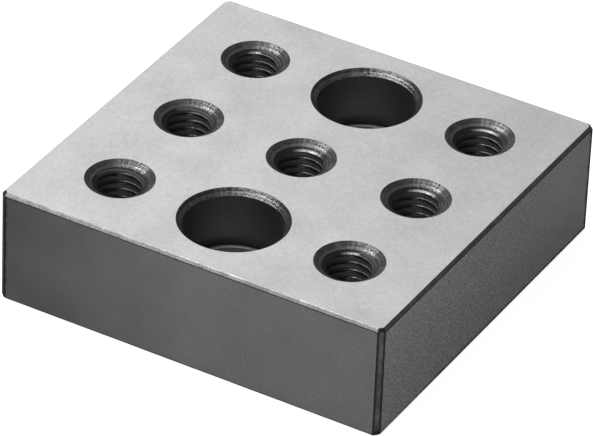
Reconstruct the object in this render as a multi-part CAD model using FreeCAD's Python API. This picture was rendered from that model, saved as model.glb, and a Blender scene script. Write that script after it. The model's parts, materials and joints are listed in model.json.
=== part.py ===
import FreeCAD, Part

import math
import os

# Machinist's setup block: one square plate of hardened, ground tool steel, drilled right
# through with a three by three grid of holes.  Two of the nine are wide stepped holes and the
# other seven are tapped.
#
# Frame: millimetres, origin at the centre of the underside, +Z up through the thickness.
# The two wide holes lie on the Y axis, one on each side of the middle tapped hole.

# --- Body -------------------------------------------------------------------------------
hole_pitch = 23.0          # centre to centre in both directions of the grid
edge_distance = 15.1       # from the outer hole centres to the ground side faces
thickness = 22.225         # 7/8 in

top_edge_chamfer = 0.55    # stoned break round the upper face
bottom_edge_chamfer = 0.55
corner_chamfer = 1.0       # on the four upright corners

# --- Tapped holes, 3/8-16 UNC ------------------------------------------------------------
tap_drill_diameter = 7.94      # 5/16 in drill: the thread's crests stand on this wall
countersink_diameter = 12.5    # mouth of the lead-in cone, the same on both faces
countersink_angle = 118.0      # included angle of the cone

# --- Wide stepped holes ------------------------------------------------------------------
seat_diameter = 17.8       # upper bore, open to the top face
seat_depth = 11.1          # from the top face down to the ledge
passage_diameter = 15.1    # lower bore, open to the underside
mouth_chamfer = 1.1        # 45 degree break on both mouths

block_side = 2 * (hole_pitch + edge_distance)


def chamfer_edges(solid, size, wanted):
    """Chamfer, by one size, each edge of the solid that the test picks out."""
    edges = [edge for edge in solid.Edges if wanted(edge.BoundBox)]
    return solid.makeChamfer(size, edges)


def blank():
    """The plate before drilling, with its corners and both rims broken."""
    corner = FreeCAD.Vector(-block_side / 2, -block_side / 2, 0)
    plate = Part.makeBox(block_side, block_side, thickness, corner)
    midway = thickness / 2
    plate = chamfer_edges(plate, corner_chamfer, lambda box: box.ZLength > midway)
    plate = chamfer_edges(plate, top_edge_chamfer, lambda box: box.ZMin > midway)
    return chamfer_edges(plate, bottom_edge_chamfer, lambda box: box.ZMax < midway)


def turned_cutter(half_profile, x, y):
    """Revolve (radius, height) points about an upright axis through (x, y)."""
    rim = [FreeCAD.Vector(radius, 0, height) for radius, height in half_profile]
    foot = FreeCAD.Vector(0, 0, half_profile[0][1])
    head = FreeCAD.Vector(0, 0, half_profile[-1][1])
    face = Part.Face(Part.makePolygon([foot] + rim + [head, foot]))
    cutter = face.revolve(FreeCAD.Vector(0, 0, 0), FreeCAD.Vector(0, 0, 1), 360)
    cutter.translate(FreeCAD.Vector(x, y, 0))
    return cutter


def lead_in(bore_radius, mouth_radius, half_angle):
    """Depth of a conical mouth, and its radius where the cutter stands clear of the face."""
    slope = math.tan(math.radians(half_angle))
    depth = (mouth_radius - bore_radius) / slope
    clear_radius = mouth_radius + depth * slope
    return depth, clear_radius


def tapped_cutter(x, y):
    """A tap-drill hole with the same lead-in cone at both ends."""
    bore = tap_drill_diameter / 2
    depth, clear_radius = lead_in(bore, countersink_diameter / 2, countersink_angle / 2)
    profile = [
        (clear_radius, -depth),
        (bore, depth),
        (bore, thickness - depth),
        (clear_radius, thickness + depth),
    ]
    return turned_cutter(profile, x, y)


def stepped_cutter(x, y):
    """A wide seat bored from above, with a flat ledge round the narrower passage below it."""
    seat = seat_diameter / 2
    passage = passage_diameter / 2
    ledge = thickness - seat_depth
    profile = [
        (passage + 2 * mouth_chamfer, -mouth_chamfer),
        (passage, mouth_chamfer),
        (passage, ledge),
        (seat, ledge),
        (seat, thickness - mouth_chamfer),
        (seat + 2 * mouth_chamfer, thickness + mouth_chamfer),
    ]
    return turned_cutter(profile, x, y)


def hole_cutters():
    """One cutter for each place of the grid."""
    cutters = []
    for row in (-1, 0, 1):
        for column in (-1, 0, 1):
            is_wide = column == 0 and row != 0
            make_cutter = stepped_cutter if is_wide else tapped_cutter
            cutters.append(make_cutter(column * hole_pitch, row * hole_pitch))
    return cutters


def setup_block():
    return blank().cut(hole_cutters())


os.makedirs("parts", exist_ok=True)
block = setup_block()
if not block.isValid() or len(block.Solids) != 1:
    raise RuntimeError("the setup block did not come out as one valid solid")
block.Solids[0].exportStep("parts/setup_block.step")
print(f"setup_block: {block_side:.2f} x {block_side:.2f} x {thickness:.3f} mm, "
      f"{block.Volume / 1000:.2f} cm3, {len(block.Faces)} faces")
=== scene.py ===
# %% [markdown]
# # A machinist's setup block
# The block is one square plate of hardened steel, ground flat and drilled through with nine
# holes.  Seven of them are tapped and two are wide, plain and stepped.  This lesson dresses
# the block: it cuts the real threads, gives each surface the finish that its tool leaves, and
# lights it softly on a pale table.
#
# The first lines load the measured model.  It is the fixed frame: every size below is either
# read from it or is a small named detail that it leaves out.

# %% Load the measured model
import json
import math

import bmesh
import bpy
from mathutils import Matrix, Vector


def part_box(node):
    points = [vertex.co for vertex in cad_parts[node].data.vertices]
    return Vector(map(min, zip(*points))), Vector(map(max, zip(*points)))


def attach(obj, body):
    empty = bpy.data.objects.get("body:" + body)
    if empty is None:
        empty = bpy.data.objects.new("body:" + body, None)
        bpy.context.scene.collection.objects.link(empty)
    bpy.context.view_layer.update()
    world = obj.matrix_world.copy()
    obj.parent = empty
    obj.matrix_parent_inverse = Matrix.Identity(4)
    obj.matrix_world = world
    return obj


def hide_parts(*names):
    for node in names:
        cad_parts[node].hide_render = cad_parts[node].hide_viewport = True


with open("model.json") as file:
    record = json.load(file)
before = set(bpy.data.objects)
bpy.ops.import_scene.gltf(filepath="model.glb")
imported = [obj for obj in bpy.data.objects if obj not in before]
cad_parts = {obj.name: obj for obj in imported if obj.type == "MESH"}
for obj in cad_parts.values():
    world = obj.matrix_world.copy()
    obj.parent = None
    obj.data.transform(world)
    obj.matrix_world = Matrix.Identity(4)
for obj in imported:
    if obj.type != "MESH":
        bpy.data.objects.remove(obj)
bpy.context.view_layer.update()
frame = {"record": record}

MM = 0.001

# %% [markdown]
# ## Where the holes are
# A hole's place and radius are facts about the object, so they are read from the record of
# the measured model and never typed in twice.  A tapped hole is recorded at its tap-drill
# wall.  The wall's length says how deep the conical lead-in goes at each end.

# %% Read the block and its holes
block_low, block_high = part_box("setup_block")
SIDE = block_high.x - block_low.x
THICKNESS = block_high.z - block_low.z


def recorded_holes(ending=None, kind="bore"):
    """Centre (x, y), radius and wall length of each recorded hole, in metres."""
    found = []
    for mount in frame["record"]["mounts"]:
        if mount["kind"] == kind and (ending is None or mount["name"].endswith(ending)):
            centre = Vector(mount["pos_m"][:2])
            size = mount["dims"]
            found.append((centre, size["r_mm"] * MM, size["length_mm"] * MM))
    return found


tapped_holes = recorded_holes(kind="threaded_hole")
seats = recorded_holes("_seat")
passages = recorded_holes("_passage")
HOLE_PITCH = max(centre.x for centre, _, _ in tapped_holes)
print(len(tapped_holes), "tapped holes,", len(seats), "stepped holes, pitch",
      round(HOLE_PITCH / MM, 2), "mm")

# %% [markdown]
# ## Cutting metal in Blender
# A real block is sawn, milled, drilled, tapped and ground.  The same order works here: make a
# solid blank, make a solid in the shape of each cutter, and take one from the other with a
# Boolean modifier.  Modelling the holes by hand, face by face, would be slow, and the edge
# where a thread runs out into its lead-in cone would never come out true.
#
# Every face remembers which tool made it through its material slot, so the finishes are
# listed first, in slot order.  They get their shader nodes further down.

# %% Name the finishes and write two mesh helpers
FINISHES = ["ground_face", "dark_side", "broken_edge", "lead_in_cone", "thread",
            "bored_wall", "turned_ledge"]
finish = {name: bpy.data.materials.new(name) for name in FINISHES}


def mesh_object(name, bm):
    """Turn a finished bmesh into an object that carries every finish slot."""
    mesh = bpy.data.meshes.new(name)
    bm.to_mesh(mesh)
    bm.free()
    for material in finish.values():
        mesh.materials.append(material)
    made = bpy.data.objects.new(name, mesh)
    bpy.context.scene.collection.objects.link(made)
    return made


def skin_between(bm, lower, upper, slot):
    """Join two rings of vertices with a band of faces."""
    count = len(lower)
    for i in range(count):
        j = (i + 1) % count
        corners = (lower[i], lower[j], upper[j], upper[i])
        bm.faces.new(corners).material_index = FINISHES.index(slot)


print(len(FINISHES), "finishes:", ", ".join(FINISHES))

# %% [markdown]
# ## The blank
# Seen from above the blank is a square with its corners cut off at 45 degrees.  Four copies
# of that outline, stacked, make the plate: the top and bottom ones are drawn in by the width
# of the broken edge.  A stone run along an edge never leaves it knife sharp, so a bevel far
# smaller than the chamfer rounds every arris.  It is what catches a thin line of light.

# %% Make the blank
FACE_EDGE = 0.55 * MM        # chamfer round the top and bottom faces
CORNER_EDGE = 1.0 * MM       # chamfer down the four upright corners
ARRIS = 0.08 * MM            # rounding that the stone leaves on every edge


def cut_square(half, corner, z):
    """Eight points, anticlockwise, of a square with its corners cut off."""
    run = half - corner
    points = []
    for quarter in range(4):
        turn = Matrix.Rotation(math.radians(90 * quarter), 3, "Z")
        points.append(turn @ Vector((half, -run, z)))
        points.append(turn @ Vector((half, run, z)))
    return points


def make_blank():
    """The plate with its edges broken and its arrises rounded."""
    bm = bmesh.new()
    half = SIDE / 2
    # this much of the corner keeps its broken edge as wide as the others
    drawn_in = CORNER_EDGE - (2 - math.sqrt(2)) * FACE_EDGE
    outlines = [
        cut_square(half - FACE_EDGE, drawn_in, 0),
        cut_square(half, CORNER_EDGE, FACE_EDGE),
        cut_square(half, CORNER_EDGE, THICKNESS - FACE_EDGE),
        cut_square(half - FACE_EDGE, drawn_in, THICKNESS),
    ]
    rings = [[bm.verts.new(point) for point in outline] for outline in outlines]
    skin_between(bm, rings[0], rings[1], "broken_edge")
    skin_between(bm, rings[1], rings[2], "dark_side")
    skin_between(bm, rings[2], rings[3], "broken_edge")
    for face in bm.faces:
        middle = face.calc_center_median()
        if abs(abs(middle.x) - abs(middle.y)) < ARRIS:
            face.material_index = FINISHES.index("broken_edge")
    bm.faces.new(rings[0][::-1]).material_index = FINISHES.index("ground_face")
    bm.faces.new(rings[3]).material_index = FINISHES.index("ground_face")
    bmesh.ops.bevel(bm, geom=bm.edges[:], offset=ARRIS, segments=2, profile=0.5,
                    affect="EDGES", material=FINISHES.index("broken_edge"))
    return mesh_object("setup_block_dressed", bm)


block = make_blank()
print("blank:", len(block.data.polygons), "faces")

# %% [markdown]
# ## Round cutters
# A drill, a countersink and a boring bar all sweep out a turned shape.  One function spins a
# half profile, given as (radius, height) points, about an upright axis.  Each stretch of the
# profile names the finish that it leaves behind.

# %% Turn the round cutters
ROUND_STEPS = 96             # facets round a hole, each turned by less than 4 degrees
CLEAR = 1.5 * MM             # how far a cutter stands out of the plate
CONE_ANGLE = 118             # degrees across a lead-in cone
CONE_SLOPE = math.tan(math.radians(CONE_ANGLE / 2))


def turned_cutter(bm, centre, profile, slots):
    """Add one closed turned solid. slots[i] is the finish between points i and i + 1."""
    rings = []
    for radius, height in profile:
        ring = []
        for step in range(ROUND_STEPS):
            angle = math.tau * step / ROUND_STEPS
            x = centre.x + radius * math.cos(angle)
            y = centre.y + radius * math.sin(angle)
            ring.append(bm.verts.new((x, y, height)))
        rings.append(ring)
    for lower, upper, slot in zip(rings, rings[1:], slots):
        skin_between(bm, lower, upper, slot)
    bm.faces.new(rings[0][::-1])
    bm.faces.new(rings[-1])


def lead_in_profile(wall_radius, depth, face_height, up):
    """A short cone that opens at a face; up is +1 at the top face and -1 underneath."""
    tip = (wall_radius - depth * CONE_SLOPE, face_height - 2 * up * depth)
    mouth = (wall_radius + depth * CONE_SLOPE + CLEAR * CONE_SLOPE,
             face_height + up * CLEAR)
    return [tip, mouth] if up > 0 else [mouth, tip]


def make_countersinks():
    """The lead-in cones at both ends of every tapped hole."""
    bm = bmesh.new()
    for centre, radius, length in tapped_holes:
        depth = (THICKNESS - length) / 2
        for face_height, up in ((THICKNESS, 1), (0, -1)):
            profile = lead_in_profile(radius, depth, face_height, up)
            turned_cutter(bm, centre, profile, ["lead_in_cone"])
    return mesh_object("countersinks", bm)


def make_stepped_bores():
    """The two wide holes: a seat with a flat ledge, and a narrower passage below."""
    bm = bmesh.new()
    for (centre, seat, seat_length), (_, passage, passage_length) in zip(seats, passages):
        chamfer = (THICKNESS - seat_length - passage_length) / 2
        ledge = chamfer + passage_length
        profile = [
            (passage + chamfer + CLEAR, -CLEAR),
            (passage, chamfer),
            (passage, ledge),
            (seat, ledge),
            (seat, THICKNESS - chamfer),
            (seat + chamfer + CLEAR, THICKNESS + CLEAR),
        ]
        slots = ["lead_in_cone", "bored_wall", "turned_ledge", "bored_wall", "lead_in_cone"]
        turned_cutter(bm, centre, profile, slots)
    return mesh_object("stepped_bores", bm)


print("round cutters for", 2 * len(tapped_holes), "cones and", len(seats), "stepped holes")

# %% [markdown]
# ## The thread's section
# A thread is a groove that climbs as it goes round.  Its section over one pitch is a crest
# flat, a flank, a root flat and a flank back.  The wall that the tap drill leaves is the crest.
# A real thread has no knife edges, so each corner of the section is cut back a little.

# %% Draw the thread's section
THREAD_PITCH = 25.4 / 16 * MM          # sixteen threads to the inch
THREAD_ROOT = 9.525 / 2 * MM           # radius at the bottom of the groove
ROOT_FLAT = THREAD_PITCH / 8
FLANK_ANGLE = math.radians(60)         # between a flank and the axis
FLANK_RUN = 1 / math.tan(FLANK_ANGLE)  # rise of a flank for each unit of depth
THREAD_EDGE = 0.09 * MM                # how far each thread corner is cut back


def thread_profile(crest):
    """(height, radius) points over one pitch, from the start of a crest flat."""
    rise = (THREAD_ROOT - crest) * FLANK_RUN
    crest_flat = THREAD_PITCH - ROOT_FLAT - 2 * rise
    corners = [
        (0, crest),
        (crest_flat, crest),
        (crest_flat + rise, THREAD_ROOT),
        (crest_flat + rise + ROOT_FLAT, THREAD_ROOT),
    ]
    lead = THREAD_EDGE * math.cos(FLANK_ANGLE)
    drop = THREAD_EDGE * math.sin(FLANK_ANGLE)
    points = []
    for i, (height, radius) in enumerate(corners):
        flat_side = 1 if i in (0, 2) else -1
        towards_flank = drop if radius == crest else -drop
        on_flat = (height + flat_side * THREAD_EDGE, radius)
        on_flank = (height - flat_side * lead, radius + towards_flank)
        points += [on_flank, on_flat] if flat_side > 0 else [on_flat, on_flank]
    return points


print("thread:", round(THREAD_PITCH / MM, 4), "mm pitch,",
      round((THREAD_ROOT - tapped_holes[0][1]) / MM, 2), "mm deep")

# %% [markdown]
# ## The tap
# The tap is built as rows of points that climb by one pitch in each turn, so every flank is a
# true helix and eight rows a turn are enough.  After a full turn a row meets the row one pitch
# above it, and that is how the seam closes.  Above and below the plate the rows are pressed
# flat onto one end circle.

# %% Cut the taps
THREAD_STARTS = [0.29, 0.52, 0.38, 0.67, 0.69, 0.49, 0.73]   # turns, one for each tapped hole


def add_tap(bm, centre, crest, start):
    """Add one closed tap that reaches past both faces of the plate."""
    profile = thread_profile(crest)
    bottom, top = -CLEAR, THICKNESS + CLEAR
    turns = math.ceil((top - bottom) / THREAD_PITCH) + 3
    first = bottom - 2 * THREAD_PITCH + start * THREAD_PITCH
    columns = []
    for step in range(ROUND_STEPS):
        angle = math.tau * step / ROUND_STEPS
        climb = THREAD_PITCH * step / ROUND_STEPS
        ends = [bm.verts.new((centre.x + crest * math.cos(angle),
                              centre.y + crest * math.sin(angle), z)) for z in (bottom, top)]
        column = []
        for turn in range(turns):
            for rise, radius in profile:
                z = first + climb + turn * THREAD_PITCH + rise
                if z <= bottom or z >= top:
                    column.append(ends[0] if z <= bottom else ends[1])
                    continue
                x = centre.x + radius * math.cos(angle)
                y = centre.y + radius * math.sin(angle)
                column.append(bm.verts.new((x, y, z)))
        columns.append(column)
    rows = len(columns[0])
    for step in range(ROUND_STEPS):
        here = columns[step]
        shift = 0 if step + 1 < ROUND_STEPS else len(profile)
        there = columns[(step + 1) % ROUND_STEPS]
        for row in range(rows - 1):
            corners = [here[row], there[min(row + shift, rows - 1)],
                       there[min(row + 1 + shift, rows - 1)], here[row + 1]]
            distinct = list(dict.fromkeys(corners))
            if len(distinct) > 2:
                bm.faces.new(distinct).material_index = FINISHES.index("thread")
    bm.faces.new([column[0] for column in columns][::-1])
    bm.faces.new([column[-1] for column in columns])


def make_taps():
    """One tap for each tapped hole, each started at its own angle."""
    bm = bmesh.new()
    for (centre, radius, _), start in zip(tapped_holes, THREAD_STARTS):
        add_tap(bm, centre, radius, start)
    return mesh_object("taps", bm)


# %% [markdown]
# ## Machining
# The Boolean modifier takes each set of cutters from the blank.  Blender's manifold solver
# suits this: every cutter is a closed solid, and it is quick even with long threads.  The
# result is baked into a plain mesh and the cutters are thrown away.

# %% Machine the block
def machine(blank, cutter):
    """Take a cutter from the blank for good."""
    cut = blank.modifiers.new("cut", "BOOLEAN")
    cut.operation = "DIFFERENCE"
    cut.solver = "MANIFOLD"
    cut.object = cutter
    bpy.context.view_layer.update()
    graph = bpy.context.evaluated_depsgraph_get()
    machined = bpy.data.meshes.new_from_object(blank.evaluated_get(graph))
    blank.modifiers.clear()
    blank.data = machined
    bpy.data.objects.remove(cutter)
    print("after cutting:", len(machined.polygons), "faces")


for make_cutter in (make_stepped_bores, make_taps, make_countersinks):
    machine(block, make_cutter())

# %% [markdown]
# ## Smooth where it is round, sharp where it is cut
# Smooth shading blends the facets of a cone or a thread into one surface.  It must stop where
# one tool's work meets another's, and at any turn of more than 35 degrees.  Weighted normals
# then keep the big faces flat and leave all the turning of the light to the small arrises.

# %% Shade the machined block
HOLE_WORK = set(range(FINISHES.index("lead_in_cone"), len(FINISHES)))   # slots of the holes
SHARP_TURN = math.radians(35)
CRUMB = 0.0002 * MM          # edges shorter than this are left over from the cutting


def mark_sharp_edges(thing):
    """Smooth every face, then mark the edges that stay crisp."""
    bm = bmesh.new()
    bm.from_mesh(thing.data)
    bmesh.ops.dissolve_degenerate(bm, edges=bm.edges[:], dist=CRUMB)
    for face in bm.faces:
        face.smooth = True
    for edge in bm.edges:
        one, other = edge.link_faces
        changes = one.material_index != other.material_index
        in_hole = one.material_index in HOLE_WORK or other.material_index in HOLE_WORK
        turn = one.normal.angle(other.normal, 0)
        edge.smooth = not ((changes and in_hole) or turn > SHARP_TURN)
    sharp = sum(not edge.smooth for edge in bm.edges)
    bm.to_mesh(thing.data)
    bm.free()
    weighted = thing.modifiers.new("flat_faces_stay_flat", "WEIGHTED_NORMAL")
    weighted.mode = "FACE_AREA"
    weighted.keep_sharp = True
    return sharp


print("crisp edges:", mark_sharp_edges(block))

# %% [markdown]
# ## A small kit for shader nodes
# Every finish is worked out from where a point lies on the block, in millimetres, so the grain
# keeps its true size from any distance and needs no picture.  The helpers below only save
# typing.  They feed a socket with a value or a link, add a node with its settings, do a sum,
# and start a group.

# %% Write the shader helpers
def feed(tree, socket, value):
    """Link an output to a socket, or set the socket to a plain value."""
    if isinstance(value, bpy.types.NodeSocket):
        tree.links.new(value, socket)
    else:
        socket.default_value = value


def add_node(tree, kind, **settings):
    """Add a node; settings named like its inputs become values or links."""
    node = tree.nodes.new(kind)
    for key, value in settings.items():
        name = key.replace("_", " ")
        if hasattr(node, key) and name not in node.inputs:
            setattr(node, key, value)
        else:
            feed(tree, node.inputs[name], value)
    return node


def sum_of(tree, operation, *terms, kind="ShaderNodeMath", output="Value"):
    """One Math node: terms are numbers or the outputs of other nodes."""
    node = add_node(tree, kind, operation=operation)
    for socket, term in zip(node.inputs, terms):
        feed(tree, socket, term)
    return node.outputs[output]


def vector_sum(tree, operation, *terms, output="Vector"):
    """One Vector Math node, which puts out a Vector or a Value."""
    return sum_of(tree, operation, *terms, kind="ShaderNodeVectorMath", output=output)


def plus(tree, first, *others):
    """The sum of several patterns."""
    for other in others:
        first = sum_of(tree, "ADD", first, other)
    return first


def times(tree, first, *others):
    """The product of several patterns."""
    for other in others:
        first = sum_of(tree, "MULTIPLY", first, other)
    return first


def new_group(name, inputs, outputs):
    """An empty shader group; each input is (name, default) and a None default is a vector."""
    group = bpy.data.node_groups.new(name, "ShaderNodeTree")
    for label, default in inputs:
        kind = "NodeSocketVector" if default is None else "NodeSocketFloat"
        socket = group.interface.new_socket(label, in_out="INPUT", socket_type=kind)
        if default is not None:
            socket.default_value = default
    for label in outputs:
        group.interface.new_socket(label, in_out="OUTPUT", socket_type="NodeSocketFloat")
    return group, group.nodes.new("NodeGroupInput").outputs, group.nodes.new("NodeGroupOutput")


# %% [markdown]
# ## Fine grain
# Grinding and hardening scale both leave a surface that sparkles in specks of a third of a
# millimetre or less.  Two sizes of noise make it: specks, and wide soft clouds where the wheel
# cut a little more or less.

# %% Build the grain group
def build_grain():
    group, given, result = new_group(
        "fine_grain",
        [("Place", None), ("Speck Size", 0.2), ("Cloud Size", 9.0)],
        ["Specks", "Clouds"])
    for pattern, size, detail, roughness in (("Specks", "Speck Size", 2.0, 0.6),
                                             ("Clouds", "Cloud Size", 3.0, 0.55)):
        noise = add_node(group, "ShaderNodeTexNoise", Vector=given["Place"],
                         Scale=sum_of(group, "DIVIDE", 1.0, given[size]),
                         Detail=detail, Roughness=roughness)
        group.links.new(noise.outputs["Fac"], result.inputs[pattern])
    return group


fine_grain = build_grain()
print("group", fine_grain.name, "has", len(fine_grain.nodes), "nodes")

# %% [markdown]
# ## Round the nearest hole
# Tool marks in a hole follow its axis.  The holes sit on a square grid, so wrapping x and y by
# the pitch moves every hole onto one, and plain polar coordinates do the rest.  A real
# countersink also chatters: it skips round the cone in even waves that the light picks out.

# %% Build the tool-mark group
HEIGHT_SHARE = -0.5          # height counts beside radius, so that upright walls get rings too


def build_tool_marks():
    group, given, result = new_group(
        "tool_marks",
        [("Place", None), ("Hole Pitch", 23.0), ("Ring Spacing", 0.3), ("Waves", 24.0)],
        ["Rings", "Chatter", "Radius"])
    split = add_node(group, "ShaderNodeSeparateXYZ", Vector=given["Place"])
    half = sum_of(group, "DIVIDE", given["Hole Pitch"], 2.0)
    back = times(group, half, -1.0)
    x = sum_of(group, "WRAP", split.outputs["X"], half, back)
    y = sum_of(group, "WRAP", split.outputs["Y"], half, back)
    spoke = add_node(group, "ShaderNodeCombineXYZ", X=x, Y=y).outputs["Vector"]
    radius = vector_sum(group, "LENGTH", spoke, output="Value")
    along = sum_of(group, "MULTIPLY_ADD", split.outputs["Z"], HEIGHT_SHARE, radius)
    rings = add_node(group, "ShaderNodeTexNoise", noise_dimensions="1D",
                     W=sum_of(group, "DIVIDE", along, given["Ring Spacing"]),
                     Scale=1.0, Detail=3.0, Roughness=0.7)
    chatter = add_node(group, "ShaderNodeTexNoise", Vector=vector_sum(group, "NORMALIZE", spoke),
                       Scale=sum_of(group, "DIVIDE", given["Waves"], math.tau),
                       Detail=2.0, Roughness=0.6)
    group.links.new(rings.outputs["Fac"], result.inputs["Rings"])
    group.links.new(chatter.outputs["Fac"], result.inputs["Chatter"])
    group.links.new(radius, result.inputs["Radius"])
    return group


tool_marks = build_tool_marks()
print("group", tool_marks.name, "has", len(tool_marks.nodes), "nodes")

# %% [markdown]
# ## A dark line along the edges
# This mask draws a thin dark line along a face's edges; where it runs along the foot it is
# painted contact shadow.  Of a point's three distances to the ends of the flat faces, the
# smallest only says which face it is on.
# The middle one is how far it is from that face's nearest edge, and the mask fades with it.
# Corner Edge and Face Edge say how much of each face the chamfers have already taken.
#
# The three gaps are not counted alike.  The gap to the top counts many times over, so the mark
# stays thin there.  Bottom Creep is the same number for the gap to the underside, and the
# smaller it is the higher the mark climbs.  The gap to the front or the back counts for less
# than its length, so the mark is wider beside the upright corners of the two end faces.

# %% Build the dark-edge-line group
TOP_CREEP = 9.0              # how many times over the gap to the top counts
END_FACE_CREEP = 0.6         # how much the gap to the front or the back counts
FULL_LINE = 0.6              # the share of its reach within which the mark is complete


def build_dark_edge_line():
    group, given, result = new_group(
        "dark_edge_line",
        [("Place", None), ("Side", 76.2), ("Thickness", 22.2), ("Corner Edge", 1.0),
         ("Face Edge", 0.5), ("Bottom Creep", 1.0), ("Width", 0.5)],
        ["Wear"])
    split = add_node(group, "ShaderNodeSeparateXYZ", Vector=given["Place"])
    half_side = sum_of(group, "DIVIDE", given["Side"], 2.0)
    half_thick = sum_of(group, "DIVIDE", given["Thickness"], 2.0)
    height = sum_of(group, "SUBTRACT", split.outputs["Z"], half_thick)
    creep = add_node(group, "ShaderNodeMapRange", Value=height, From_Min=-1.0, From_Max=1.0,
                     To_Min=given["Bottom Creep"], To_Max=TOP_CREEP)
    gaps = []
    for place, half, edge, counts in (
            (split.outputs["X"], half_side, given["Corner Edge"], 1.0),
            (split.outputs["Y"], half_side, given["Corner Edge"], END_FACE_CREEP),
            (height, half_thick, given["Face Edge"], creep.outputs["Result"])):
        outer = sum_of(group, "SUBTRACT", half, sum_of(group, "ABSOLUTE", place))
        gaps.append(times(group, sum_of(group, "SUBTRACT", outer, edge), counts))
    pairs = [sum_of(group, "MINIMUM", gaps[one], gaps[other])
             for one, other in ((0, 1), (1, 2), (0, 2))]
    middle = sum_of(group, "MAXIMUM", sum_of(group, "MAXIMUM", pairs[0], pairs[1]), pairs[2])
    ragged = add_node(group, "ShaderNodeTexNoise", Vector=given["Place"], Scale=1.2,
                      Detail=4.0, Roughness=0.65)
    reach = times(group, ragged.outputs["Fac"], 2.0, given["Width"])
    dark_line = add_node(group, "ShaderNodeMapRange", Value=middle, From_Min=reach,
                    From_Max=times(group, reach, FULL_LINE))
    group.links.new(dark_line.outputs["Result"], result.inputs["Wear"])
    return group


dark_edge_line = build_dark_edge_line()
print("group", dark_edge_line.name, "has", len(dark_edge_line.nodes), "nodes")

# %% [markdown]
# ## Putting a finish together
# All seven finishes are bare or blackened steel, so they share one recipe.  A base colour
# runs from dark to light with a pattern, the roughness follows the same pattern the other
# way, because a pit is dull and a land is bright, and a bump gives it relief.  Two helpers
# place marks and painted light: one lays a colour over another through a mask, and one makes a
# mask of the surfaces that face a chosen way, such as the side of a hole where the key lamp's
# highlight falls.

# %% Write the recipe for a steel finish
COLOUR_A, COLOUR_B, COLOUR_RESULT = 6, 7, 2   # the Mix node's sockets for colours


def grey(level):
    """A neutral steel grey with a trace of blue."""
    return (level, level, level * 1.01, 1.0)


def start_finish(name):
    """Clear a finish's nodes and give back its tree, shader and the place in millimetres."""
    material = finish[name]
    material.use_nodes = True
    tree = material.node_tree
    tree.nodes.clear()
    output = tree.nodes.new("ShaderNodeOutputMaterial")
    shader = tree.nodes.new("ShaderNodeBsdfPrincipled")
    tree.links.new(shader.outputs["BSDF"], output.inputs["Surface"])
    shader.inputs["Metallic"].default_value = 1.0
    texture = tree.nodes.new("ShaderNodeTexCoord")
    place = add_node(tree, "ShaderNodeVectorMath", operation="SCALE",
                     Vector=texture.outputs["Object"], Scale=1 / MM)
    print("finish:", name)
    return tree, shader, place.outputs["Vector"]


def use_group(tree, group, **settings):
    """Place a node group in a finish and give back its outputs."""
    return add_node(tree, "ShaderNodeGroup", node_tree=group, **settings).outputs


def spread(tree, value, given, wanted=(0.0, 1.0)):
    """Stretch a pattern from a given range to the wanted one."""
    node = add_node(tree, "ShaderNodeMapRange", Value=value, From_Min=given[0],
                    From_Max=given[1], To_Min=wanted[0], To_Max=wanted[1])
    return node.outputs["Result"]


def blend(tree, mask, under, over):
    """Lay one colour over another where a mask is 1."""
    node = add_node(tree, "ShaderNodeMix", data_type="RGBA")
    feed(tree, node.inputs["Factor"], mask)
    feed(tree, node.inputs[COLOUR_A], under)
    feed(tree, node.inputs[COLOUR_B], over)
    return node.outputs[COLOUR_RESULT]


def tint(tree, pattern, dark, light):
    """A grey that runs from dark to light with a pattern."""
    return blend(tree, pattern, grey(dark), grey(light))


def turned_to(tree, direction, low, high):
    """A mask of the surface that faces a direction, judged by the cosine between them."""
    geometry = tree.nodes.new("ShaderNodeNewGeometry")
    cosine = vector_sum(tree, "DOT_PRODUCT", geometry.outputs["Normal"], direction,
                        output="Value")
    return spread(tree, cosine, (low, high))


def dress(tree, shader, colour, pattern, roughness, height, depth):
    """Give a finish its colour, a roughness that follows a pattern, and depth mm of relief."""
    tree.links.new(colour, shader.inputs["Base Color"])
    tree.links.new(spread(tree, pattern, (0.0, 1.0), roughness), shader.inputs["Roughness"])
    bump = add_node(tree, "ShaderNodeBump", Height=height, Distance=depth * MM)
    tree.links.new(bump.outputs["Normal"], shader.inputs["Normal"])
    print("made of", len(tree.nodes), "nodes")


# %% [markdown]
# ## The ground faces
# The top and the underside come off a surface grinder: bright, flat and satin.  The specks
# break up the reflection of the lamp, and the clouds shift its brightness a little.

# %% Finish the ground faces
PORE_SHARE = 0.6             # how much the wide pores count beside the fine specks
CLOUD_SHARE = 0.9            # and how much the clouds do


def finish_ground_face():
    tree, shader, place = start_finish("ground_face")
    grain = use_group(tree, fine_grain, Place=place, Speck_Size=0.34, Cloud_Size=11.0)
    pores = use_group(tree, fine_grain, Place=place, Speck_Size=0.9, Cloud_Size=4.0)
    mixed = sum_of(tree, "MULTIPLY_ADD", pores["Specks"], PORE_SHARE, grain["Specks"])
    clouded = sum_of(tree, "MULTIPLY_ADD", grain["Clouds"], CLOUD_SHARE, mixed)
    even = spread(tree, clouded, (0.87, 1.68))
    dress(tree, shader, tint(tree, even, dark=0.58, light=0.765),
          pattern=even, roughness=(0.44, 0.34), height=even, depth=0.006)


finish_ground_face()

# %% [markdown]
# ## The dark sides
# The four sides keep the dark, fine-pored skin that heat treatment leaves, with a satin sheen.
# Its pores are more open towards one upright corner, and coarser on the two end faces.  Its tone
# carries painted light and shade: the end faces are painted paler, and the skin is painted darker
# towards the left and, on the end faces, towards the back.  A thin black line lies along the
# edges, and along the foot it is painted contact shadow.  It is left out round the front right
# upright corner, and it is widest low down on the end faces.

# %% Finish the sides
SIDE_MM = SIDE / MM
HALF_MM = SIDE_MM / 2
THICKNESS_MM = THICKNESS / MM
OPEN_CORNER = (HALF_MM, -HALF_MM, THICKNESS_MM / 2)   # open pores, and no black line round it
DRAWN_OUT = (1.0, 0.6, 1.0)  # stretches the pores along the end faces
# black for the dark lines along the edges and for the painted shade at the foot
BLACK_LINE_AND_SHADE = grey(0.012)
DARK_LINE_WIDTH = 0.6               # mm, about how wide the black line is


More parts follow.
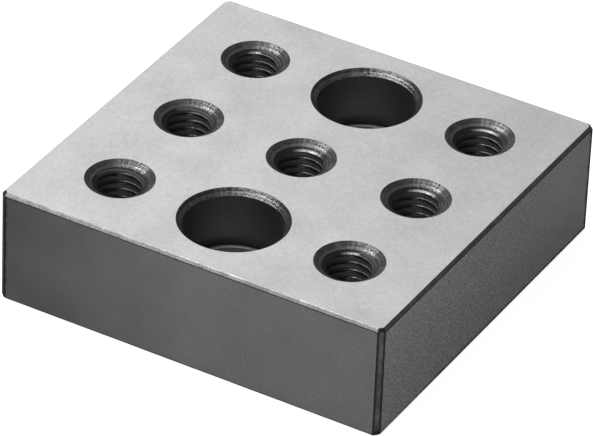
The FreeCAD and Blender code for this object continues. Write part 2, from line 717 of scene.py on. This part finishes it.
def face_direction(tree):
    """The x, y and z of the direction that a surface faces."""
    geometry = tree.nodes.new("ShaderNodeNewGeometry")
    split = add_node(tree, "ShaderNodeSeparateXYZ", Vector=geometry.outputs["True Normal"])
    return split.outputs


def painted_skin_shade(tree, place, end_face):
    """Painted light and shade on the skin: paler on the end faces, darker at the left and towards
    the back.
    """
    split = add_node(tree, "ShaderNodeSeparateXYZ", Vector=place)
    lighter = spread(tree, end_face, (0.0, 1.0), (0.55, 1.0))
    along = spread(tree, split.outputs["X"], (-HALF_MM, 0.0), (-0.6, 0.0))
    away = spread(tree, split.outputs["Y"], (-HALF_MM, HALF_MM), (0.0, -0.45))
    return plus(tree, lighter, along, times(tree, end_face, away))


def finish_dark_side():
    tree, shader, place = start_finish("dark_side")
    end_face = sum_of(tree, "ABSOLUTE", face_direction(tree)["X"])
    from_corner = vector_sum(tree, "DISTANCE", place, OPEN_CORNER, output="Value")
    grain = use_group(tree, fine_grain, Place=vector_sum(tree, "MULTIPLY", place, DRAWN_OUT),
                      Speck_Size=0.22, Cloud_Size=7.0)
    openness = spread(tree, from_corner, (SIDE_MM * 0.4, SIDE_MM), (1.0, 0.15))
    coarse = spread(tree, end_face, (0.0, 1.0), (1.9, 7.5))
    pores = times(tree, sum_of(tree, "SUBTRACT", grain["Specks"], 0.5), openness, coarse)
    # painted shade: the tone is paler on the end faces and darker to the left and towards the
    # back
    cloudy = sum_of(tree, "MULTIPLY_ADD", grain["Clouds"], 0.4, painted_skin_shade(tree, place, end_face))
    tone = plus(tree, cloudy, pores)
    skin = tint(tree, times(tree, tone, 0.5), dark=0.063, light=0.225)
    # a thin black line along the edges, painted contact shadow along the foot
    edge = use_group(tree, dark_edge_line, Place=place, Side=SIDE_MM, Thickness=THICKNESS_MM,
                     Corner_Edge=CORNER_EDGE / MM, Face_Edge=FACE_EDGE / MM, Width=DARK_LINE_WIDTH,
                     Bottom_Creep=spread(tree, end_face, (0.0, 1.0), (4.0, 0.9)))
    # the black line and its painted contact shadow are left out round the front right corner
    far_from_corner = spread(tree, from_corner, (SIDE_MM * 0.1, SIDE_MM * 0.3), (0.0, 0.9))
    dress(tree, shader, blend(tree, times(tree, edge["Wear"], far_from_corner), skin, BLACK_LINE_AND_SHADE),
          pattern=tone, roughness=(0.52, 0.42), height=pores, depth=0.006)
    shader.inputs["Specular Tint"].default_value = grey(0.45)   # dimmer at a grazing look


finish_dark_side()

# %% [markdown]
# ## The broken edges
# The chamfers round the top and the underside were stoned after hardening.  Along the front
# and the back they are bare and mottled.  The chamfer at the left end is painted near white, a
# painted reflection of the bright surroundings, and the one at the right end is painted dark, a
# painted reflection of the dark background.  The rounded arris between a long chamfer and the
# ground face is painted black at its left end, painted shade.  The four upright corners stay
# dark, blackest along their rims, with painted shade at the foot.  One material does it all,
# because the surface's own direction tells them apart.

# %% Finish the broken edges
def bare_chamfer(tree, even, facing, lean, along):
    """Mottled steel, painted near white at the left end; the long arrises get painted shade at
    their left.
    """
    # painted reflection: the chamfer at the left end is painted near white
    bright_left_end = spread(tree, facing["X"], (-0.3, -0.1), (1.0, 0.0))
    streaky = blend(tree, bright_left_end, tint(tree, even, dark=0.34, light=0.72), grey(0.9))
    # painted shade: the long arrises are painted dark at their left end
    dark_left_arris = times(tree, spread(tree, lean["Z"], (0.78, 0.84)),
                   spread(tree, lean["Y"], (0.1, 0.3)),
                   spread(tree, along, (-HALF_MM, HALF_MM * 0.3), (0.85, 0.0)))
    return blend(tree, dark_left_arris, streaky, grey(0.12))


def upright_corner(tree, even, place):
    """Dark steel, blackest along the corner's two rims, with painted shade at the foot."""
    split = add_node(tree, "ShaderNodeSeparateXYZ", Vector=place)
    x = sum_of(tree, "ABSOLUTE", split.outputs["X"])
    y = sum_of(tree, "ABSOLUTE", split.outputs["Y"])
    across = sum_of(tree, "ABSOLUTE", sum_of(tree, "SUBTRACT", x, y))
    rim = spread(tree, across, (0.3, 0.75), (0.0, 0.85))
    # painted shade at the foot of each upright corner
    painted_foot_shade = spread(tree, split.outputs["Z"], (0.9, 2.6), (0.9, 0.0))
    return blend(tree, sum_of(tree, "MAXIMUM", rim, painted_foot_shade),
                 tint(tree, even, dark=0.04, light=0.085), BLACK_LINE_AND_SHADE)


def finish_broken_edge():
    tree, shader, place = start_finish("broken_edge")
    grain = use_group(tree, fine_grain, Place=place, Speck_Size=0.3, Cloud_Size=3.0)
    even = spread(tree, plus(tree, grain["Clouds"], grain["Specks"]), (0.82, 1.22))
    along = add_node(tree, "ShaderNodeSeparateXYZ", Vector=place).outputs["X"]
    facing = face_direction(tree)
    lean = {axis: sum_of(tree, "ABSOLUTE", facing[axis]) for axis in "XYZ"}
    on_face_edge = spread(tree, lean["Z"], (0.6, 0.69))
    off_corner = spread(tree, sum_of(tree, "MINIMUM", lean["X"], lean["Y"]),
                        (0.1, 0.2), (1.0, 0.0))
    # painted reflection: the chamfer at the right end is painted mostly dark, darker towards the
    # right
    painted_dark_right_end = spread(tree, facing["X"], (0.1, 0.3), (1.0, 0.22))
    stoned = times(tree, painted_dark_right_end, off_corner, on_face_edge)
    dim_chamfer = tint(tree, spread(tree, along, (-HALF_MM, HALF_MM), (1.0, 0.0)),
                     dark=0.045, light=0.09)
    dark = blend(tree, on_face_edge, upright_corner(tree, even, place), dim_chamfer)
    bare_and_painted_light = bare_chamfer(tree, even, facing, lean, along)
    dress(tree, shader, blend(tree, stoned, dark, bare_and_painted_light),
          pattern=even, roughness=(0.42, 0.3), height=even, depth=0.01)
    shader.inputs["Specular Tint"].default_value = grey(0.4)    # dimmer at a grazing look


finish_broken_edge()

# %% [markdown]
# ## The lead-in cones
# A countersink leaves rings, and chatter across them.  Both come from the tool-mark group: the
# rings as lines of polish, and the chatter as real relief that bends the highlight.  The rest is
# painted light.  The side of each cone where the key lamp's highlight falls gets a painted
# highlight, broken into bright flecks, and the chatter's colour shows only there; the thread's
# first turn is black apart from a painted crescent highlight, and a patch of painted shade lies
# beside the lit side.  A black ring marks where the cone meets the thread, and a thin painted
# highlight line runs just above it and just inside each wide mouth.  The mouths of the two wide
# holes are duller at the rim.

# %% Write down where the cones are lit and shaded
CRESCENT_SIDE = (0.22, -0.98, 0.0)     # the painted crescent highlight on the first turn faces this way
CONE_LIT_SIDE = (0.0, -1.0, 0.0)        # the painted highlight on the cones faces this way
FLECK_LIT_SIDE = (-0.22, -0.98, 0.0)  # the painted highlight flecks face this way
SHADED_SIDE = (-0.71, -0.71, 0.0)     # the painted shade patch faces this way
LIPLESS_SIDE = (-0.9, -0.42, 0.0)   # the painted highlight lip fades out towards this side
ROOT_MM = THREAD_ROOT / MM
SEAT_MM = seats[0][1] / MM
WIDE_RIM = (8.0, 8.5)               # mm, radii that only the wide holes' mouths reach


def band(tree, radius, inner, outer, soft):
    """A mask that is 1 between two radii, in millimetres, and fades over a soft edge."""
    rises = spread(tree, radius, (inner - soft, inner))
    falls = spread(tree, radius, (outer, outer + soft), (1.0, 0.0))
    return times(tree, rises, falls)


def highlight_lips(tree, radius, specks):
    """Thin painted highlight lines, just above each thread and just inside each wide mouth."""
    # painted highlight lines along the inner edges of the cones
    lip = times(tree, band(tree, radius, ROOT_MM + 0.15, ROOT_MM + 0.4, soft=0.12),
                turned_to(tree, LIPLESS_SIDE, 0.48, 0.3))
    wide_lip = band(tree, radius, SEAT_MM - 0.1, SEAT_MM + 0.5, soft=0.1)
    return times(tree, plus(tree, lip, wide_lip), spread(tree, specks, (0.0, 1.0), (0.2, 0.7)))


def highlight_flecks(tree, speckled, specks, wide_mouth, first_turn):
    """Painted highlight in flecks on the lit side, in the wide mouths and as a crescent on the
    first turn.
    """
    # painted highlight: a bright patch in each wide mouth, broken into flecks
    mouth_lit = turned_to(tree, CONE_LIT_SIDE, 0.45, 0.75)
    wide_flecks = times(tree, wide_mouth, spread(tree, plus(tree, speckled, mouth_lit), (1.05, 1.6)))
    # painted highlight: the crescent on the thread's first turn
    crescent_lit = turned_to(tree, CRESCENT_SIDE, 0.4, 0.5)
    thread_start = times(tree, first_turn, crescent_lit,
                         spread(tree, specks, (0.0, 1.0), (0.4, 1.0)))
    # painted highlight flecks on the lit side of each cone
    flecked = plus(tree, speckled, turned_to(tree, FLECK_LIT_SIDE, 0.47, 0.51))
    lit_flecks = spread(tree, flecked, (1.5, 1.8), (0.0, 0.55))
    return sum_of(tree, "MAXIMUM", plus(tree, wide_flecks, thread_start),
                  sum_of(tree, "SUBTRACT", lit_flecks, wide_mouth))


print("thread root", round(ROOT_MM, 3), "mm, wide seat", round(SEAT_MM, 3), "mm, in radius")

# %% [markdown]
# The cone's own grey comes from one sum.  Rings, specks and chatter make the pattern, the dull
# mouths, the bright patches and the painted light and shade add to it or take from it, and the
# black ring and the painted highlight flecks are laid over the result.

# %% Finish the cones
def finish_lead_in_cone():
    tree, shader, place = start_finish("lead_in_cone")
    marks = use_group(tree, tool_marks, Place=place, Hole_Pitch=HOLE_PITCH / MM,
                      Ring_Spacing=0.3, Waves=95.0)
    grain = use_group(tree, fine_grain, Place=place, Speck_Size=0.3, Cloud_Size=1.8)
    radius = marks["Radius"]
    rings = spread(tree, marks["Rings"], (0.3, 0.7))
    specks = spread(tree, grain["Specks"], (0.3, 0.7))
    speckled = sum_of(tree, "MULTIPLY_ADD", rings, 0.5, times(tree, specks, 0.5))
    # painted highlight: the side where the key lamp's highlight falls is painted brighter
    lamp_side = turned_to(tree, CONE_LIT_SIDE, 0.4, 0.5)
    waves = spread(tree, marks["Chatter"], (0.35, 0.65), (-0.5, 0.5))
    mixed = sum_of(tree, "MULTIPLY_ADD", times(tree, waves, lamp_side), 0.6, speckled)
    wide_mouth = spread(tree, radius, WIDE_RIM)
    at_mouth = sum_of(tree, "MULTIPLY_ADD", wide_mouth, -0.3, -0.3)
    # painted shade: a darker patch beside the lit side of each cone
    painted_shade_patch = times(tree, turned_to(tree, SHADED_SIDE, 0.455, 0.5), -0.35)
    dulling_and_painted_light = plus(tree, at_mouth, painted_shade_patch, times(tree, lamp_side, 0.12))
    bright_patches = spread(tree, grain["Clouds"], (0.5, 0.7), (0.0, 0.5))
    tone_and_painted_light = plus(tree, highlight_lips(tree, radius, specks), bright_patches,
                sum_of(tree, "MULTIPLY_ADD", mixed, 1.2, dulling_and_painted_light))
    steel = tint(tree, tone_and_painted_light, dark=0.06, light=0.22)
    dark_ring = band(tree, radius, ROOT_MM - 0.33, ROOT_MM + 0.04, soft=0.06)
    first_turn = band(tree, radius, 0.0, ROOT_MM - 0.42, soft=0.06)
    black = times(tree, sum_of(tree, "MAXIMUM", dark_ring, first_turn), 0.9)
    blackened = blend(tree, black, steel, grey(0.035))
    bare_and_painted_light = highlight_flecks(tree, speckled, specks, wide_mouth, first_turn)
    # the painted highlight flecks are laid on in pale grey
    dress(tree, shader, blend(tree, bare_and_painted_light, blackened, grey(0.6)),
          pattern=mixed, roughness=(0.46, 0.28), height=mixed, depth=0.06)


finish_lead_in_cone()

# %% [markdown]
# ## The threads
# The steel inside a tapped hole is black with oil and scale, and each crest carries a painted
# highlight.  The crest is the part nearest the axis, so a band of radius finds it.  A second mask
# keeps it to the surfaces that face one way, where the key lamp's highlight falls, and specks
# break it up.  The root of the groove is painted lighter, painted light that lifts the shade deep
# in the groove.

# %% Finish the threads
TAP_WALL_MM = tapped_holes[0][1] / MM
THREAD_LIT_SIDE = (-0.45, -0.89, 0.0)   # the side of the thread where the crest highlight is painted


def finish_thread():
    tree, shader, place = start_finish("thread")
    marks = use_group(tree, tool_marks, Place=place, Hole_Pitch=HOLE_PITCH / MM,
                      Ring_Spacing=0.12, Waves=40.0)
    grain = use_group(tree, fine_grain, Place=place, Speck_Size=0.3, Cloud_Size=3.0)
    crest = band(tree, marks["Radius"], 0.0, TAP_WALL_MM + 0.1, soft=0.1)
    patchy = spread(tree, grain["Specks"], (0.35, 0.6), (0.25, 1.0))
    # painted highlight on the crests, kept to one side
    bright_patches = times(tree, crest, patchy, turned_to(tree, THREAD_LIT_SIDE, 0.38, 0.49))
    scratches = spread(tree, marks["Rings"], (0.55, 0.75), (0.0, 0.2))
    # painted light: the root of the groove is painted lighter against its shade
    painted_root_light = spread(tree, marks["Radius"], (TAP_WALL_MM + 0.25, ROOT_MM), (0.0, 0.4))
    streaked = plus(tree, bright_patches, painted_root_light, scratches)
    dress(tree, shader, tint(tree, streaked, dark=0.058, light=0.42),
          pattern=bright_patches, roughness=(0.6, 0.22), height=marks["Rings"], depth=0.006)


finish_thread()

# %% [markdown]
# ## The bored walls and the ledges
# A boring bar leaves fine rings.  The walls are as dark as the threads.  The flat ledge
# halfway down is black too, apart from one bright band of radius.

# %% Finish the walls and ledges
BRIGHT_BAND = (7.7, 8.4)      # mm, the radii between which the ledge is bright


def finish_turned(name, dark, light, spacing, roughness, depth, bright_radii=None):
    """A finish with turning rings, kept to one bright band if its two radii are given."""
    tree, shader, place = start_finish(name)
    marks = use_group(tree, tool_marks, Place=place, Hole_Pitch=HOLE_PITCH / MM,
                      Ring_Spacing=spacing, Waves=12.0)
    grain = use_group(tree, fine_grain, Place=place, Speck_Size=0.3, Cloud_Size=3.0)
    rings = spread(tree, marks["Rings"], (0.4, 0.6))
    mixed = sum_of(tree, "MULTIPLY_ADD", grain["Clouds"], 0.4, times(tree, rings, 0.6))
    if bright_radii is not None:
        mixed = times(tree, mixed, 1.5, band(tree, marks["Radius"], *bright_radii, soft=0.1))
    dress(tree, shader, tint(tree, mixed, dark, light),
          pattern=rings, roughness=roughness, height=rings, depth=depth)


finish_turned("bored_wall", dark=0.14, light=0.15, spacing=0.25, roughness=(0.56, 0.54),
              depth=0.001)
finish_turned("turned_ledge", dark=0.03, light=1.0, spacing=0.5, roughness=(0.41, 0.39),
              depth=0.1, bright_radii=BRIGHT_BAND)

# %% [markdown]
# ## The table
# The block stands on a plain pale table, which lies a hair below it so that the two surfaces
# never share a plane.  Seen directly or in the steel the table is almost white, and it still
# takes the block's soft shadow.  A diffuse surface gets a glow of its own for this, one
# strength for rays from the camera and a weaker one for reflections.  From underneath the
# table is clear, so that the block's other face can be looked at too.

# %% Lay the table
TABLE_REACH = 12.0           # metres from the block to the table's edge
TABLE_GREY = 0.80
FIBRE = 0.01                 # how far the table's grey wanders
HAIR = 0.02 * MM             # keeps the table and the underside from sharing a plane
SEEN_GLOW = 0.8              # the table as the camera sees it
MIRRORED_GLOW = 0.6          # the table as the steel mirrors it


def matt_white():
    """A finish for the table: matt, glowing, and clear from behind."""
    material = bpy.data.materials.new("pale_table")
    material.use_nodes = True
    tree = material.node_tree
    shader = tree.nodes["Principled BSDF"]
    texture = tree.nodes.new("ShaderNodeTexCoord")
    fibre = add_node(tree, "ShaderNodeTexNoise", Vector=texture.outputs["Object"],
                     Scale=40.0, Detail=3.0)
    pale = tint(tree, fibre.outputs["Fac"], TABLE_GREY - FIBRE, TABLE_GREY + FIBRE)
    tree.links.new(pale, shader.inputs["Base Color"])
    shader.inputs["Roughness"].default_value = 1.0
    shader.inputs["Specular IOR Level"].default_value = 0.0
    path = tree.nodes.new("ShaderNodeLightPath")
    mirrored = sum_of(tree, "MAXIMUM", path.outputs["Is Glossy Ray"],
                      path.outputs["Is Transmission Ray"])
    glow = plus(tree, times(tree, mirrored, MIRRORED_GLOW),
                times(tree, path.outputs["Is Camera Ray"], SEEN_GLOW))
    shader.inputs["Emission Color"].default_value = (1.0, 1.0, 1.0, 1.0)
    tree.links.new(glow, shader.inputs["Emission Strength"])
    clear = tree.nodes.new("ShaderNodeBsdfTransparent")
    one_sided = tree.nodes.new("ShaderNodeMixShader")
    geometry = tree.nodes.new("ShaderNodeNewGeometry")
    tree.links.new(geometry.outputs["Backfacing"], one_sided.inputs["Fac"])
    tree.links.new(shader.outputs["BSDF"], one_sided.inputs[1])
    tree.links.new(clear.outputs["BSDF"], one_sided.inputs[2])
    output = tree.nodes["Material Output"]
    tree.links.new(one_sided.outputs["Shader"], output.inputs["Surface"])
    return material


def lay_table():
    """A flat sheet, far wider than the view."""
    bm = bmesh.new()
    bmesh.ops.create_grid(bm, x_segments=8, y_segments=8, size=TABLE_REACH)
    mesh = bpy.data.meshes.new("table_top")
    bm.to_mesh(mesh)
    bm.free()
    mesh.materials.append(matt_white())
    table = bpy.data.objects.new("table_top", mesh)
    bpy.context.scene.collection.objects.link(table)
    table.location.z = -HAIR
    return table


table = lay_table()
print("the table lies", round(-table.location.z / MM, 3), "mm below the block")

# %% [markdown]
# ## The light
# A compact soft box hangs high on the left and makes the streak in every cone and thread.  A
# large, weaker panel stands behind it: the camera sees that one mirrored in the ground face,
# which therefore darkens gently towards the right.  A weaker fill in front opens the dark
# side.  The room itself is dim overhead and pale near the horizon.

# %% Hang the lamps and fill the room
def soft_box(name, aim, towards, distance, width, depth, radiance):
    """A rectangular lamp of a given radiance, facing the point it is aimed at."""
    lamp = bpy.data.lights.new(name, "AREA")
    lamp.shape = "RECTANGLE"
    lamp.size = width
    lamp.size_y = depth
    lamp.energy = radiance * math.pi * width * depth
    holder = bpy.data.objects.new(name, lamp)
    holder.location = aim + Vector(towards).normalized() * distance
    facing = (aim - holder.location).to_track_quat("-Z", "Y")
    holder.rotation_euler = facing.to_euler()
    bpy.context.scene.collection.objects.link(holder)
    print("lamp", name, "gives", round(lamp.energy, 2), "W")


block_middle = Vector((0, 0, THICKNESS / 2))
soft_box("key", block_middle, towards=(-0.44, -0.13, 0.89), distance=0.9,
         width=0.52, depth=0.50, radiance=3.8)
soft_box("left_panel", block_middle, towards=(-0.61, 0.41, 0.67), distance=0.9,
         width=1.0, depth=0.9, radiance=0.80)
soft_box("front_fill", block_middle, towards=(0.30, -0.65, 0.70), distance=1.1,
         width=0.8, depth=0.8, radiance=0.9)

HORIZON = (0.03, 1.0)        # height, as the sine of its angle, and grey of the pale rim
OVERHEAD = (0.15, 0.23)      # and those of the dim ceiling


def fill_room():
    """A world that goes from a pale horizon to a dim ceiling."""
    world = bpy.data.worlds.new("pale_room")
    bpy.context.scene.world = world
    world.use_nodes = True
    tree = world.node_tree
    background = tree.nodes["Background"]
    texture = tree.nodes.new("ShaderNodeTexCoord")
    split = add_node(tree, "ShaderNodeSeparateXYZ", Vector=texture.outputs["Generated"])
    ramp = add_node(tree, "ShaderNodeValToRGB", Fac=split.outputs["Z"])
    for stop, (height, level) in zip(ramp.color_ramp.elements, (HORIZON, OVERHEAD)):
        stop.position = height
        stop.color = (level, level, level, 1.0)
    tree.links.new(ramp.outputs["Color"], background.inputs["Color"])


fill_room()

# %% [markdown]
# ## The camera
# A long lens stands about a metre away, above the front right of the block and turned a
# little, so that the block lies slightly tilted in the frame.  Azimuth is measured from the
# front towards the right and elevation from the table.

# %% Set up the camera
AZIMUTH = math.radians(28.944)
ELEVATION = math.radians(34.101)
TILT = math.radians(2.508)
AWAY = 0.983257              # metres from the origin, along the line of sight
SLIDE_RIGHT = -0.000043      # and across it
SLIDE_UP = 0.007839
LENS = 337.4                 # mm
SENSOR = 36.0                # mm

towards_camera = Vector((math.sin(AZIMUTH) * math.cos(ELEVATION),
                         -math.cos(AZIMUTH) * math.cos(ELEVATION),
                         math.sin(ELEVATION)))
level_right = Vector((math.cos(AZIMUTH), math.sin(AZIMUTH), 0))
level_up = towards_camera.cross(level_right)
right = math.cos(TILT) * level_right + math.sin(TILT) * level_up
up = math.cos(TILT) * level_up - math.sin(TILT) * level_right

lens = bpy.data.cameras.new("long_lens")
lens.sensor_width = SENSOR
lens.lens = LENS
lens.clip_start = 0.05
lens.clip_end = 60.0
camera = bpy.data.objects.new("camera", lens)
stand = AWAY * towards_camera + SLIDE_RIGHT * right + SLIDE_UP * up
turn = Matrix((right, up, towards_camera)).transposed().to_4x4()
camera.matrix_world = Matrix.Translation(stand) @ turn
bpy.context.scene.collection.objects.link(camera)
bpy.context.scene.camera = camera
bpy.context.scene.view_settings.view_transform = "Standard"
print("camera stands at", [round(c, 3) for c in camera.matrix_world.translation], "m")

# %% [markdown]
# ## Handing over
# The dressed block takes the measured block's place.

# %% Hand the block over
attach(block, "root")
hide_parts("setup_block")

bpy.context.view_layer.update()
